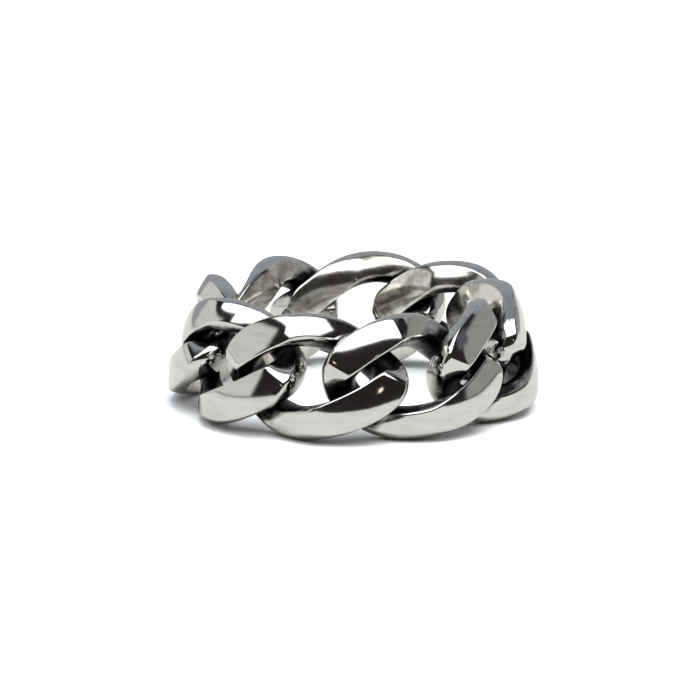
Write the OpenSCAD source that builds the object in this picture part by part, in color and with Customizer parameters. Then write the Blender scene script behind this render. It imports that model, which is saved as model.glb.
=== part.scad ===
// Curb chain ring: nine heavy twisted links that pass through each other, closed round a finger.
// The ring lies on its side, as it rests by itself. Millimetres, +Z up along the finger.

/* [Ring] */
// Inside diameter of the band, measured half way up a link
finger_d = 20; // [16:0.5:23]
// Depth of the band's inner half, from the wire's middle line to the finger
inner_t = 1.6; // [1.4:0.1:2]
// Depth of the band's outer half, from the wire's middle line to the edges of the filed face
outer_t = 2; // [1.7:0.1:2.2]
// Radius of the dome that the outer face is filed to, across the band
dome_r = 40; // [20:5:60]
// Radius of the pillow that each limb's filed face has across the wire
face_r = 8; // [4:0.5:12]
// Radius of the same pillow on the inner face
inside_r = 4.5; // [3:0.5:20]
// Lean of every link's top towards the finger, in degrees
lean = 22; // [0:1:24]

/* [Link] */
// Width of the wire in the plane of its link
wire_w = 2.5; // [2.2:0.1:2.8]
// Thickness of the wire across the plane of its link
wire_t = 3; // [2.6:0.1:3.2]
// Twist of each end of a link away from its middle, in degrees
twist = 53; // [45:1:56]

/* [Play] */
// Free way between two links along the chain
end_play = 0.9; // [0.6:0.1:1.5]
// Free way beside the wire of one link in the eye of the next
side_play = 1.4; // [0.9:0.1:1.5]

/* [Hidden] */
NODES = ["link_1", "link_2", "link_3", "link_4", "link_5", "link_6", "link_7", "link_8", "link_9"];

// How each link lies in its play: slide is a share of end_play, towards the next link, and tip is
// what it leans more than the others, in degrees
SLIDE = 1;
TIP = 2;
LIE = [
    // link, slide, tip
    [1, 0.3, -1],
    [2, 0.9, 0],
    [3, 0.55, 0],
    [4, 0.12, 0],
    [5, 0.43, 0],
    [6, -0.3, -3],
    [7, -0.9, -7],
    [8, -0.9, -8],
    [9, -0.35, -5],
];

links = len(NODES);
mid_r = finger_d / 2 + inner_t;
pitch = 2 * PI * mid_r / links;

// Half length and half width of a link, to the middle of its wire
half_l = (pitch + wire_w + end_play) / 2;
half_w = (wire_t + side_play + wire_w) / 2;

// Stations along the wire, and points round each station
stations = 48;
face_pts = 5;
side_pts = 3;
round_pts = 2 * (face_pts + side_pts);

// Half angle of the wire's flattened sides, where the band's own faces don't cut deeper
flat_half = 39;

// Span of angle over which one kind of face eases into the other
ease = 10;

// Turn of each limb's face away from the other limb, where its wire lies near the face and far from it
splay_near = 5;
splay_far = 19;

// Height of the wire's middle over the link's at which it is nearest to the outer face
near_z = 2;

// Turn of all outer faces up the band, against the lean of the links
face_turn = -3.5;

// The same turn of the inner faces, which stands them upright
inside_turn = 24;

// Power of the oval: 1 is an ellipse, less is fuller at its corners
oval = 0.88;
function fuller(v) = sign(v) * pow(abs(v), oval);
function flat_middle(t) = [half_l * fuller(cos(t)), half_w * fuller(sin(t))];

// A point of the flat oval, turned out of its plane by the twist at its place along the link
function twisted(p, x) = let (a = -twist * x / half_l) [p[0], p[1] * cos(a), p[1] * sin(a)];
function middle(t) = let (p = flat_middle(t)) twisted(p, p[0]);

function unit(v) = v / norm(v);

// Axes of the wire's section at station angle t: in the link's plane, and across it
function section_axes(t) =
    let (
        run = unit(middle(t + 0.5) - middle(t - 0.5)),
        step = flat_middle(t + 0.5) - flat_middle(t - 0.5),
        rough = twisted([step[1], -step[0]], flat_middle(t)[0]),
        across = unit(rough - (rough * run) * run)
    )
    [across, cross(run, across)];

function wire_point(c, ax, v) = c + wire_w / 2 * cos(v) * ax[0] + wire_t / 2 * sin(v) * ax[1];

// Turn of a face at station angle t, with the wire's middle at height z towards that face
function splay(z, t) =
    let (share = min(1, max(0, (z + near_z) / (2 * near_z))))
    (splay_far + (splay_near - splay_far) * share) * fuller(sin(t));

// The direction out of the band, or into it where out is -1, turned up the band by an angle
function look(out, turn) = [0, sin(turn), out * cos(turn)];

// Depth of the band from its middle line to the edges of the face that looks along dir
function depth(y, dir) = dir[2] < 0 ? inner_t : outer_t - tan(face_turn) * y - y * y / (2 * dome_r);

// Half angle of a face cut at height h over the middle of the wire, eased into the flattened side's
function cut_half(h, reach) =
    let (cut = acos(min(1, max(-1, h / reach))), d = cut - flat_half)
    (cut + flat_half + sqrt(d * d + ease * ease)) / 2;

// Angle at which the wire's side s meets the face that looks along dir, refined n times
function meet(c, ax, dir, s, n, v) =
    n == 0 ? v
    : let (
        across = wire_w / 2 * ax[0] * dir,
        through = wire_t / 2 * ax[1] * dir,
        h = depth(wire_point(c, ax, v)[1], dir) * abs(dir[2]) - c[2] * dir[2],
        half = cut_half(h, norm([across, through]))
      )
      meet(c, ax, dir, s, n - 1, atan2(through, across) + s * half);

// n points of a face from edge a to edge b, arched to radius r out of the wire that runs along run
function arched(a, b, run, r, n) =
    let (span = b - a, half = norm(span) / 2, out = unit(cross(span, run)))
    [for (i = [0 : n - 1]) let (s = 2 * i / (n - 1) - 1)
        (a + b + s * span) / 2 + out * half * half * (1 - s * s) / (2 * r)];

// n points of the wire's round side, strictly between angles from and to
function side(c, ax, from, to, n) =
    [for (i = [1 : n]) wire_point(c, ax, from + (to - from) * i / (n + 1))];

// Points round the wire at station angle t: filed face, side, inner face, other side
function link_station(t) =
    let (
        c = middle(t),
        ax = section_axes(t),
        run = cross(ax[0], ax[1]),
        out = look(1, face_turn + splay(c[2], t)),
        in = look(-1, inside_turn + splay(-c[2], t)),
        a = meet(c, ax, out, -1, 4, -90 - flat_half),
        b = meet(c, ax, out, 1, 4, -90 + flat_half),
        d = meet(c, ax, in, -1, 4, 90 - flat_half),
        e = meet(c, ax, in, 1, 4, 90 + flat_half)
    )
    concat(arched(wire_point(c, ax, a), wire_point(c, ax, b), run, face_r, face_pts),
           side(c, ax, b, d, side_pts),
           arched(wire_point(c, ax, d), wire_point(c, ax, e), run, inside_r, face_pts),
           side(c, ax, e, a + 360, side_pts));

// One straight link, x along the chain, y across the band and z away from the finger
link_pts = [for (i = [0 : stations - 1]) each link_station(360 * i / stations)];

link_faces = [for (i = [0 : stations - 1], j = [0 : round_pts - 1])
    let (i2 = (i + 1) % stations, j2 = (j + 1) % round_pts)
    [i * round_pts + j, i2 * round_pts + j, i2 * round_pts + j2, i * round_pts + j2]];

// A point of the straight link, leaned by angle a
function leaned(p, a) = [p[0], p[1] * cos(a) + p[2] * sin(a), p[2] * cos(a) - p[1] * sin(a)];

// A leaned point wrapped round the ring, at angle a from the front
function wrapped(p, a) =
    let (turn = a + p[0] / mid_r * 180 / PI, r = mid_r + p[2])
    [r * sin(turn), -r * cos(turn), p[1]];

// Turn of the fourth link from the front
front_turn = 22.3;

function link_turn(k) =
    front_turn + (k - 4) * 360 / links + LIE[k - 1][SLIDE] * end_play / mid_r * 180 / PI;

module chain_link(k) {
    points = [for (p = link_pts) leaned(p, lean + LIE[k - 1][TIP])];
    lowest = min([for (p = points) p[1]]);

    color("silver")
    translate([0, 0, -lowest])
    polyhedron(
        points = [for (p = points) wrapped(p, link_turn(k))],
        faces = link_faces,
        convexity = 6
    );
}

for (k = [1 : links]) {
    chain_link(k);
}
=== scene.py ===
# Curb chain ring on a pale table: nine polished silver links, dark where they meet.
# Metres, +Z up along the finger, the ring on its side on the table at z = 0.

import math

import bmesh
import bpy
from mathutils import Matrix, Vector
from mathutils.bvhtree import BVHTree


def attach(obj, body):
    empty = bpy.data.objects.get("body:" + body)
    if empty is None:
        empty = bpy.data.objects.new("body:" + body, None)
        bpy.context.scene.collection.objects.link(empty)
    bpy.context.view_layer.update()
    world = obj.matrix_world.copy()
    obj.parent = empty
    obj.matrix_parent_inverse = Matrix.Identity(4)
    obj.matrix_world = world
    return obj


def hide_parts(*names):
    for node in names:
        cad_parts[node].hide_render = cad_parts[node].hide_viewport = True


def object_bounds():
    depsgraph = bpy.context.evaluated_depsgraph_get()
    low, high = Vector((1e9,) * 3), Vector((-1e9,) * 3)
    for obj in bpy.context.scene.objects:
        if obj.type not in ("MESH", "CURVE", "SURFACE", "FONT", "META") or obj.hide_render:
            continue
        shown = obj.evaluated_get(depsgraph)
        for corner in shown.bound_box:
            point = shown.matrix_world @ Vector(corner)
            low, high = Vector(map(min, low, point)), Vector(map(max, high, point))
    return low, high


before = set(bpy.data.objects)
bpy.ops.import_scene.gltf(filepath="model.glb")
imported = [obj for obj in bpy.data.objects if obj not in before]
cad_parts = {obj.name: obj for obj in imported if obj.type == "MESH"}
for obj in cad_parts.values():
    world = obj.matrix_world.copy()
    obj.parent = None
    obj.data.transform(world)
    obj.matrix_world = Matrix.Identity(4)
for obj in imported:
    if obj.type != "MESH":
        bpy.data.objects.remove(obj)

CAD_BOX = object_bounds()
MM = 0.001

# The ring
FINGER_D = 20 * MM
INNER_T = 1.6 * MM
OUTER_T = 2 * MM
DOME_R = 40 * MM
FACE_R = 8 * MM
INSIDE_R = 4.5 * MM
LEAN = math.radians(22)

# A link's wire
WIRE_W = 2.5 * MM
WIRE_T = 3 * MM
TWIST = math.radians(53)
END_PLAY = 0.9 * MM
SIDE_PLAY = 1.4 * MM

# How each link lies in its play: slide is a share of the play along the chain, and tip is what the
# link leans more than the others, in degrees
LIE = [
    # node, slide, tip
    ("link_1", 0.3, -1),
    ("link_2", 0.9, 0),
    ("link_3", 0.55, 0),
    ("link_4", 0.12, 0),
    ("link_5", 0.43, 0),
    ("link_6", -0.3, -3),
    ("link_7", -0.9, -7),
    ("link_8", -0.9, -8),
    ("link_9", -0.35, -5),
]
LINKS = len(LIE)
MID_R = FINGER_D / 2 + INNER_T
PITCH = 2 * math.pi * MID_R / LINKS
HALF_L = (PITCH + WIRE_W + END_PLAY) / 2
HALF_W = (WIRE_T + SIDE_PLAY + WIRE_W) / 2

# Flattened sides of the wire, as a half angle round it, and the span over which they ease
FLAT_HALF = math.radians(39)
EASE = math.radians(10)
# Times that the edge of a face is worked out anew, each closer than the last
ROUNDS = 4

# Turn of each limb's face away from the other limb, where its wire lies near the face and far from it
SPLAY_NEAR = math.radians(5)
SPLAY_FAR = math.radians(19)
NEAR_Z = 2 * MM

# Turn of all outer faces up the band, against the lean of the links
FACE_TURN = math.radians(-3.5)
# The same turn of the inner faces, which stands them upright
INSIDE_TURN = math.radians(24)

# Power of the oval that a link follows: 1 is an ellipse, less is fuller at its corners
OVAL = 0.88

# Row in LIE of the link that stands right of the front, and its turn away from the front
FRONT_ROW = 3
FRONT_TURN = math.radians(22.3)

# How finely a link is meshed: stations along the wire, and points across its faces and round sides
STATIONS = 216
FACE_PTS = 13
SIDE_PTS = 9
ROUND_PTS = 2 * (FACE_PTS + SIDE_PTS)

# Where the crisp edges, the inner face and the wall of the link's eye lie round a station
CREASES = (0, FACE_PTS - 1, FACE_PTS + SIDE_PTS, 2 * FACE_PTS + SIDE_PTS - 1)
INNER_FACE = range(FACE_PTS + SIDE_PTS, 2 * FACE_PTS + SIDE_PTS)
EYE_WALL = range(2 * FACE_PTS + SIDE_PTS, ROUND_PTS)

# Width of the rounding on the crisp edges
CREASE_WIDTH = 0.1 * MM

# How the script feels out the hidden places: rays from each point, how far off the metal they start
# and how far they reach
LOOKS = 20
RAY_START = 0.02 * MM
REACH = 2.5 * MM

# Colours of the silver: clean, hazed by wear, dulled by the finger, clouded by tarnish stains and
# painted shade, and tarnished
CLEAN = (0.72, 0.72, 0.70)
HAZED = (0.64, 0.635, 0.61)
DULLED = (0.82, 0.81, 0.76)
CLOUDED_AND_SHADED = (0.48, 0.455, 0.405)
TARNISHED = (0.028, 0.028, 0.032)

# How much the wall of an eye counts as hidden, beside what blocks it, and how hidden a place is where
# the tarnish starts and where it is full
EYE_HIDDEN = 0.32
TARNISH_STARTS = 0.26
TARNISH_FULL = 0.58

# Roughness of the best and the worst polish, and what a dulled face and the tarnish add to it
BEST_POLISH = 0.045
WORST_POLISH = 0.10
DULL_ROUGH = 0.08
TARNISH_ROUGH = 0.26

# How close the marks of polish and of wear lie, around the ring and up the band, for each metre
POLISH_MARKS = (900, 900, 5200)
WEAR_MARKS = (400, 400, 1800)

# Height of the slow waves that polishing by hand leaves
WAVE_HEIGHT = 0.02 * MM

# The table's white paper as the camera sees it, and as the silver mirrors it, painted darker there as
# painted shade
PAPER_SEEN = (0.92, 0.945, 0.97)
PAPER_MIRRORED_SHADED = (0.51, 0.51, 0.485)


def fuller(v):
    return math.copysign(abs(v) ** OVAL, v)


def flat_middle(t):
    return Vector((HALF_L * fuller(math.cos(t)), HALF_W * fuller(math.sin(t)), 0))


def twisted(p, x):
    """A point of the flat oval, turned out of its plane by the twist at x along the link."""
    a = -TWIST * x / HALF_L
    return Vector((p.x, p.y * math.cos(a), p.y * math.sin(a)))


def middle(t):
    p = flat_middle(t)
    return twisted(p, p.x)


def section_axes(t):
    """Axes of the wire's section at station angle t: in the link's plane, and across it."""
    small = math.radians(0.5)
    run = (middle(t + small) - middle(t - small)).normalized()
    step = flat_middle(t + small) - flat_middle(t - small)
    rough = twisted(Vector((step.y, -step.x, 0)), flat_middle(t).x)
    across = (rough - rough.dot(run) * run).normalized()
    return across, run.cross(across)


def wire_point(c, ax, v):
    """The point at angle v round the wire whose middle is c."""
    return c + WIRE_W / 2 * math.cos(v) * ax[0] + WIRE_T / 2 * math.sin(v) * ax[1]


def splay(z, t):
    """Turn of a face at station angle t, with the wire's middle at height z towards that face."""
    share = min(1, max(0, (z + NEAR_Z) / (2 * NEAR_Z)))
    return (SPLAY_FAR + (SPLAY_NEAR - SPLAY_FAR) * share) * fuller(math.sin(t))


def depth(y, out):
    """Depth of the band from its middle line to the edges of its outer or inner faces."""
    if out < 0:
        return INNER_T
    return OUTER_T - math.tan(FACE_TURN) * y - y * y / (2 * DOME_R)


def cut_half(h, reach):
    """Half angle of a face cut at height h over the wire's middle, eased into the flat side's."""
    cut = math.acos(min(1, max(-1, h / reach)))
    d = cut - FLAT_HALF
    return (cut + FLAT_HALF + math.sqrt(d * d + EASE * EASE)) / 2


def meet(c, ax, out, turn, side):
    """Angle at which one side of the wire meets the outer face, or the inner one where out is -1."""
    look = Vector((0, math.sin(turn), out * math.cos(turn)))
    across, through = WIRE_W / 2 * look.dot(ax[0]), WIRE_T / 2 * look.dot(ax[1])
    facing, reach = math.atan2(through, across), math.hypot(across, through)
    v = facing + side * FLAT_HALF
    for _ in range(ROUNDS):
        h = depth(wire_point(c, ax, v).y, out) * abs(look.z) - c.z * look.z
        v = facing + side * cut_half(h, reach)
    return v


def arched(a, b, run, r):
    """Points of a face from edge a to edge b, arched to radius r out of the wire."""
    span = b - a
    out = span.cross(run).normalized()
    rise = span.length_squared / (8 * r)
    shares = [2 * i / (FACE_PTS - 1) - 1 for i in range(FACE_PTS)]
    return [(a + b + s * span) / 2 + out * rise * (1 - s * s) for s in shares]


def round_side(c, ax, start, end):
    """Points of the wire's round side, strictly between two angles."""
    step = (end - start) / (SIDE_PTS + 1)
    return [wire_point(c, ax, start + step * i) for i in range(1, SIDE_PTS + 1)]


def link_station(t):
    """Points round the wire at station angle t: filed face, side, inner face, other side."""
    c = middle(t)
    ax = section_axes(t)
    run = ax[0].cross(ax[1])
    a, b = (meet(c, ax, 1, FACE_TURN + splay(c.z, t), side) for side in (-1, 1))
    d, e = (meet(c, ax, -1, INSIDE_TURN + splay(-c.z, t), side) for side in (-1, 1))
    return (arched(wire_point(c, ax, a), wire_point(c, ax, b), run, FACE_R)
            + round_side(c, ax, b, d)
            + arched(wire_point(c, ax, d), wire_point(c, ax, e), run, INSIDE_R)
            + round_side(c, ax, e, a + 2 * math.pi))


def straight_link():
    """One link before it is leaned and wrapped round the finger, as a bmesh.

    The layer eye is 1 on the walls of the link's own eye, where no polishing wheel reaches, and the
    layer inside is 1 on the face that lies on the finger."""
    bm = bmesh.new()
    tube, big = 1.0, 3.0
    stand = Matrix.Translation((big, 0, 0)) @ Matrix.Rotation(math.pi / 2, 4, "X")
    bmesh.ops.create_circle(bm, segments=ROUND_PTS, radius=tube, matrix=stand)
    bmesh.ops.spin(bm, geom=bm.verts[:] + bm.edges[:], cent=(0, 0, 0), axis=(0, 0, 1),
                   angle=2 * math.pi, steps=STATIONS, use_merge=True)
    # The torus is drawn over the link station by station
    rows = [link_station(2 * math.pi * i / STATIONS) for i in range(STATIONS)]
    eye = bm.verts.layers.float.new("eye")
    inside = bm.verts.layers.float.new("inside")
    place = {}
    for v in bm.verts:
        i = round(math.atan2(v.co.y, v.co.x) / (2 * math.pi) * STATIONS) % STATIONS
        r = math.hypot(v.co.x, v.co.y) - big
        j = round(math.atan2(v.co.z, r) / (2 * math.pi) * ROUND_PTS) % ROUND_PTS
        place[v] = (i, j)
    for v, (i, j) in place.items():
        v.co = rows[i][j]
        v[eye] = 1.0 if j in EYE_WALL else 0.0
        v[inside] = 1.0 if j in INNER_FACE else 0.0
    creases = [e for e in bm.edges
               if place[e.verts[0]][1] == place[e.verts[1]][1] and place[e.verts[0]][1] in CREASES]
    bmesh.ops.recalc_face_normals(bm, faces=bm.faces)
    bmesh.ops.bevel(bm, geom=creases, offset=CREASE_WIDTH, offset_type="OFFSET", affect="EDGES",
                    segments=3, profile=0.5, material=-1)
    return bm


def leaned(p, angle):
    c, s = math.cos(angle), math.sin(angle)
    return Vector((p.x, p.y * c + p.z * s, p.z * c - p.y * s))


def wrapped(p, angle):
    """A leaned point wrapped round the ring, at an angle from the front."""
    turn = angle + p.x / MID_R
    r = MID_R + p.z
    return Vector((r * math.sin(turn), -r * math.cos(turn), p.y))


def link_turn(k, slide):
    return FRONT_TURN + (k - FRONT_ROW) * 2 * math.pi / LINKS + slide * END_PLAY / MID_R


def link_meshes():
    """All links, each leaned, wrapped round the ring and stood on the table."""
    bm = straight_link()
    straight = [v.co.copy() for v in bm.verts]
    meshes = []
    for k, (node, slide, tip) in enumerate(LIE):
        points = [leaned(p, LEAN + math.radians(tip)) for p in straight]
        lift = Vector((0, 0, -min(p.y for p in points)))
        for v, p in zip(bm.verts, points):
            v.co = wrapped(p, link_turn(k, slide)) + lift
        mesh = bpy.data.meshes.new(node)
        bmesh.ops.recalc_face_normals(bm, faces=bm.faces)
        bm.to_mesh(mesh)
        meshes.append(mesh)
    bm.free()
    return meshes


def look_round(mesh, neighbours):
    """For every point of a link, the share of directions that no metal blocks within REACH."""
    points, sides = [], []
    for m in (mesh, *neighbours):
        start = len(points)
        points += [v.co.copy() for v in m.vertices]
        sides += [[start + i for i in p.vertices] for p in m.polygons]
    tree = BVHTree.FromPolygons(points, sides)
    golden = math.pi * (3 - math.sqrt(5))
    rays = []
    for i in range(LOOKS):
        up = math.sqrt(1 - (i + 0.5) / LOOKS)
        out = math.sqrt(1 - up * up)
        rays.append(Vector((out * math.cos(i * golden), out * math.sin(i * golden), up)))
    shares = []
    for v in mesh.vertices:
        turn = v.normal.to_track_quat("Z", "Y").to_matrix()
        origin = v.co + v.normal * RAY_START
        free = sum(tree.ray_cast(origin, turn @ ray, REACH)[0] is None for ray in rays)
        shares.append(free / LOOKS)
    return shares


def mark_open(meshes):
    """Stores on every point how open it lies; one link stands for all, because they sit alike."""
    neighbours = (meshes[FRONT_ROW - 1], meshes[FRONT_ROW + 1])
    shares = look_round(meshes[FRONT_ROW], neighbours)
    for mesh in meshes:
        layer = mesh.attributes.new("open", "FLOAT", "POINT")
        layer.data.foreach_set("value", shares)


class Shading:
    """Short ways to add and join shader nodes."""

    def __init__(self, tree):
        self.nodes, self.links = tree.nodes, tree.links

    def put(self, value, socket):
        """Links a node's output to a socket, or sets the socket to a plain value."""
        if isinstance(value, bpy.types.NodeSocket):
            self.links.new(value, socket)
        elif isinstance(value, tuple) and len(value) == 3 and socket.type == "RGBA":
            socket.default_value = (*value, 1)
        else:
            socket.default_value = value

    def math(self, operation, *values):
        node = self.nodes.new("ShaderNodeMath")
        node.operation = operation
        for value, socket in zip(values, node.inputs):
            self.put(value, socket)
        return node.outputs[0]

    def step(self, value, start, end, low=0.0, high=1.0):
        """A smooth step from low to high while value goes from start to end."""
        node = self.nodes.new("ShaderNodeMapRange")
        node.interpolation_type = "SMOOTHSTEP"
        settings = {"Value": value, "From Min": start, "From Max": end, "To Min": low, "To Max": high}
        for name, setting in settings.items():
            self.put(setting, node.inputs[name])
        return node.outputs["Result"]

    def blend(self, share, a, b):
        node = self.nodes.new("ShaderNodeMix")
        node.data_type = "RGBA"
        for name, value in (("Factor", share), ("A", a), ("B", b)):
            self.put(value, next(s for s in node.inputs if s.name == name and s.enabled))
        return next(s for s in node.outputs if s.enabled)

    def noise(self, place, scale, detail, rough=0.5):
        node = self.nodes.new("ShaderNodeTexNoise")
        settings = {"Vector": place, "Scale": scale, "Detail": detail, "Roughness": rough}
        for name, setting in settings.items():
            self.put(setting, node.inputs[name])
        return node.outputs["Fac"]

    def attribute(self, name):
        node = self.nodes.new("ShaderNodeAttribute")
        node.attribute_name = name
        return node.outputs["Fac"]

    def scaled_place(self, factor):
        """Object coordinates times a factor, or a factor for each axis."""
        coord = self.nodes.new("ShaderNodeTexCoord")
        scale = self.nodes.new("ShaderNodeMapping")
        scale.inputs["Scale"].default_value = factor
        self.links.new(coord.outputs["Object"], scale.inputs["Vector"])
        return scale.outputs["Vector"]


def silver():
    """Polished silver, tarnished dark where the links hide each other."""
    mat = bpy.data.materials.new("silver")
    mat.use_nodes = True
    sh = Shading(mat.node_tree)
    shader = mat.node_tree.nodes["Principled BSDF"]
    shader.inputs["Metallic"].default_value = 1.0
    place = sh.scaled_place((1 / MM, 1 / MM, 1 / MM))

    # Tarnish sits where the wheel can't reach, in uneven blotches
    blotch = sh.noise(place, scale=1.1, detail=4.0)
    shut = sh.math("SUBTRACT", 1.0, sh.attribute("open"))
    hidden = sh.math("MULTIPLY_ADD", sh.attribute("eye"), EYE_HIDDEN, shut)
    uneven = sh.math("MULTIPLY_ADD", sh.math("SUBTRACT", blotch, 0.5), 0.5, hidden)
    tarnish = sh.step(uneven, TARNISH_STARTS, TARNISH_FULL)

    # The inner faces are worn dull by the finger, with brownish clouds, partly tarnish stains and
    # partly painted shade that stands in for the shaded table inside the ring that they mirror
    clouds_and_shade = sh.step(sh.noise(place, scale=0.8, detail=5.0), 0.46, 0.66)
    inner = sh.blend(clouds_and_shade, DULLED, CLOUDED_AND_SHADED)

    # A faint haze of wear, drawn out along the band, lies on the outer faces
    haze = sh.step(sh.noise(sh.scaled_place(WEAR_MARKS), scale=1.0, detail=4.0, rough=0.6), 0.4, 0.7)
    outer = sh.blend(haze, CLEAN, HAZED)
    bare = sh.blend(sh.attribute("inside"), outer, inner)
    sh.put(sh.blend(tarnish, bare, TARNISHED), shader.inputs["Base Color"])

    marks = sh.noise(sh.scaled_place(POLISH_MARKS), scale=4.0, detail=3.0)
    polish = sh.step(marks, 0.3, 0.7, BEST_POLISH, WORST_POLISH)
    dull = sh.math("MULTIPLY_ADD", sh.attribute("inside"), DULL_ROUGH, polish)
    rough = sh.math("MULTIPLY_ADD", tarnish, TARNISH_ROUGH, dull)
    sh.put(rough, shader.inputs["Roughness"])

    wave = sh.noise(place, scale=0.45, detail=3.0, rough=0.22)
    bump = mat.node_tree.nodes.new("ShaderNodeBump")
    bump.inputs["Strength"].default_value = 1.0
    bump.inputs["Distance"].default_value = WAVE_HEIGHT
    sh.put(wave, bump.inputs["Height"])
    sh.put(bump.outputs["Normal"], shader.inputs["Normal"])
    return mat


def build_links(mat):
    meshes = link_meshes()
    mark_open(meshes)
    for (node, *_), mesh in zip(LIE, meshes):
        mesh.shade_smooth()
        mesh.materials.append(mat)
        link = bpy.data.objects.new("chain_" + node, mesh)
        bpy.context.collection.objects.link(link)
        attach(link, "root")
        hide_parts(node)


def table_top():
    """Plain white paper, far wider than the picture, with painted shade where the silver mirrors it.
    """
    bm = bmesh.new()
    bmesh.ops.create_grid(bm, x_segments=1, y_segments=1, size=1.5)
    mesh = bpy.data.meshes.new("table_top")
    bm.to_mesh(mesh)
    bm.free()
    mat = bpy.data.materials.new("white_paper")
    mat.use_nodes = True
    shader = mat.node_tree.nodes["Principled BSDF"]
    sh = Shading(mat.node_tree)
    # The paper is bleached white as the camera sees it, and painted darker, as painted shade, where
    # the silver mirrors it
    path = sh.nodes.new("ShaderNodeLightPath")
    white = sh.blend(path.outputs["Is Camera Ray"], PAPER_MIRRORED_SHADED, PAPER_SEEN)
    sh.put(white, shader.inputs["Base Color"])
    shader.inputs["Roughness"].default_value = 0.8
    shader.inputs["Specular IOR Level"].default_value = 0.0
    mesh.materials.append(mat)
    top = bpy.data.objects.new("table_top", mesh)
    bpy.context.collection.objects.link(top)


def add_camera():
    """Looks at the ring's axis half way up the band, as in the photograph."""
    middle_z = (CAD_BOX[0][2] + CAD_BOX[1][2]) / 2
    elevation = math.radians(13.5)
    distance = 0.262
    lens = 174.5
    target_px = Vector((354.2, 340.8))
    frame_px = 700
    roll = math.radians(0.25)
    data = bpy.data.cameras.new("camera")
    data.lens = lens
    data.sensor_width = 36
    data.shift_x = (frame_px / 2 - target_px.x) / frame_px
    data.shift_y = (target_px.y - frame_px / 2) / frame_px
    data.clip_start = 0.01
    camera = bpy.data.objects.new("camera", data)
    back = Vector((0, -math.cos(elevation), math.sin(elevation)))
    turn = (-back).to_track_quat("-Z", "Y").to_matrix().to_4x4()
    camera.matrix_world = (Matrix.Translation(Vector((0, 0, middle_z)) + distance * back)
                           @ turn @ Matrix.Rotation(roll, 4, "Z"))
    bpy.context.collection.objects.link(camera)
    bpy.context.scene.camera = camera


# What the polished silver sees round it. Angles in degrees: azimuth from the camera's side, to the
# right, and elevation above the table. Each panel lies over those before it.
PANELS = [
    # azimuth from, to, elevation from, to, soft edge, brightness, (red, green, blue)
    (-138, -56, -2, 36, 5, 0.74, (1.0, 0.99, 0.96)),
    (72, 150, -2, 30, 5, 0.35, (1.0, 0.97, 0.94)),
    (100, 150, 26, 46, 5, 0.42, (0.96, 0.98, 1.04)),
    (66, 84, 18, 34, 4, 0.12, (0.92, 0.97, 1.08)),
    (60, 130, 42, 66, 6, 0.13, (0.92, 0.96, 1.1)),
    (-80, -40, 40, 70, 3, 2.4, (1.0, 1.0, 1.0)),
    (-48, 58, 31, 78, 3, 2.4, (1.0, 1.0, 1.0)),
    (-30, -25, 15, 18, 1, 3.0, (1.0, 0.9, 0.8)),
    (20, 24, 12, 16, 1, 2.0, (1.0, 0.8, 0.6)),
]

# The rest of the room: its dim side behind the camera, its far side, its ceiling, and the white that
# only the camera sees
DIM_SIDE = (0.024, 0.021, 0.020)
FAR_SIDE = (0.37, 0.39, 0.42)
CEILING = (0.30, 0.32, 0.35)
BACKDROP = (1.2, 1.2, 1.2)

# Azimuths between which the dim side gives way to the far one, and elevations between which both
# give way to the ceiling
DIM_SIDE_ENDS = math.radians(110)
FAR_SIDE_STARTS = math.radians(125)
SIDES_END = math.radians(50)
CEILING_STARTS = math.radians(60)


def room():
    """A studio with a dim side behind the camera, seen in the polished silver."""
    world = bpy.data.worlds.new("room")
    world.use_nodes = True
    bpy.context.scene.world = world
    sh = Shading(world.node_tree)
    coord = sh.nodes.new("ShaderNodeTexCoord")
    split = sh.nodes.new("ShaderNodeSeparateXYZ")
    sh.put(coord.outputs["Generated"], split.inputs[0])
    azimuth = sh.math("ARCTAN2", split.outputs["X"], sh.math("MULTIPLY", split.outputs["Y"], -1.0))
    elevation = sh.math("ARCSINE", split.outputs["Z"])
    aside = sh.math("ABSOLUTE", azimuth)
    seen = sh.blend(sh.step(aside, DIM_SIDE_ENDS, FAR_SIDE_STARTS), DIM_SIDE, FAR_SIDE)
    seen = sh.blend(sh.step(elevation, SIDES_END, CEILING_STARTS), seen, CEILING)
    for left, right, low, high, soft, brightness, tint in PANELS:
        share = 1.0
        for value, start, end in ((azimuth, left, right), (elevation, low, high)):
            edges = [math.radians(a) for a in (start, start + soft, end - soft, end)]
            share = sh.math("MULTIPLY", share, sh.step(value, edges[0], edges[1]))
            share = sh.math("MULTIPLY", share, sh.step(value, edges[2], edges[3], 1.0, 0.0))
        seen = sh.blend(share, seen, tuple(brightness * c for c in tint))
    path = sh.nodes.new("ShaderNodeLightPath")
    seen = sh.blend(path.outputs["Is Camera Ray"], seen, BACKDROP)
    sh.put(seen, world.node_tree.nodes["Background"].inputs["Color"])


def overhead_lamp():
    """A square lamp that faces the ring. It lights the table, and the silver doesn't mirror it."""
    place = Vector((0.1, 0.0, 0.6))
    data = bpy.data.lights.new("overhead", "AREA")
    data.size = 0.6
    data.energy = 5.0
    lamp = bpy.data.objects.new("overhead", data)
    turn = (-place).to_track_quat("-Z", "Y").to_matrix().to_4x4()
    lamp.matrix_world = Matrix.Translation(place) @ turn
    lamp.visible_camera = False
    lamp.visible_glossy = False
    bpy.context.collection.objects.link(lamp)


build_links(silver())
table_top()
add_camera()
room()
overhead_lamp()

scene = bpy.context.scene
scene.view_settings.view_transform = "Standard"
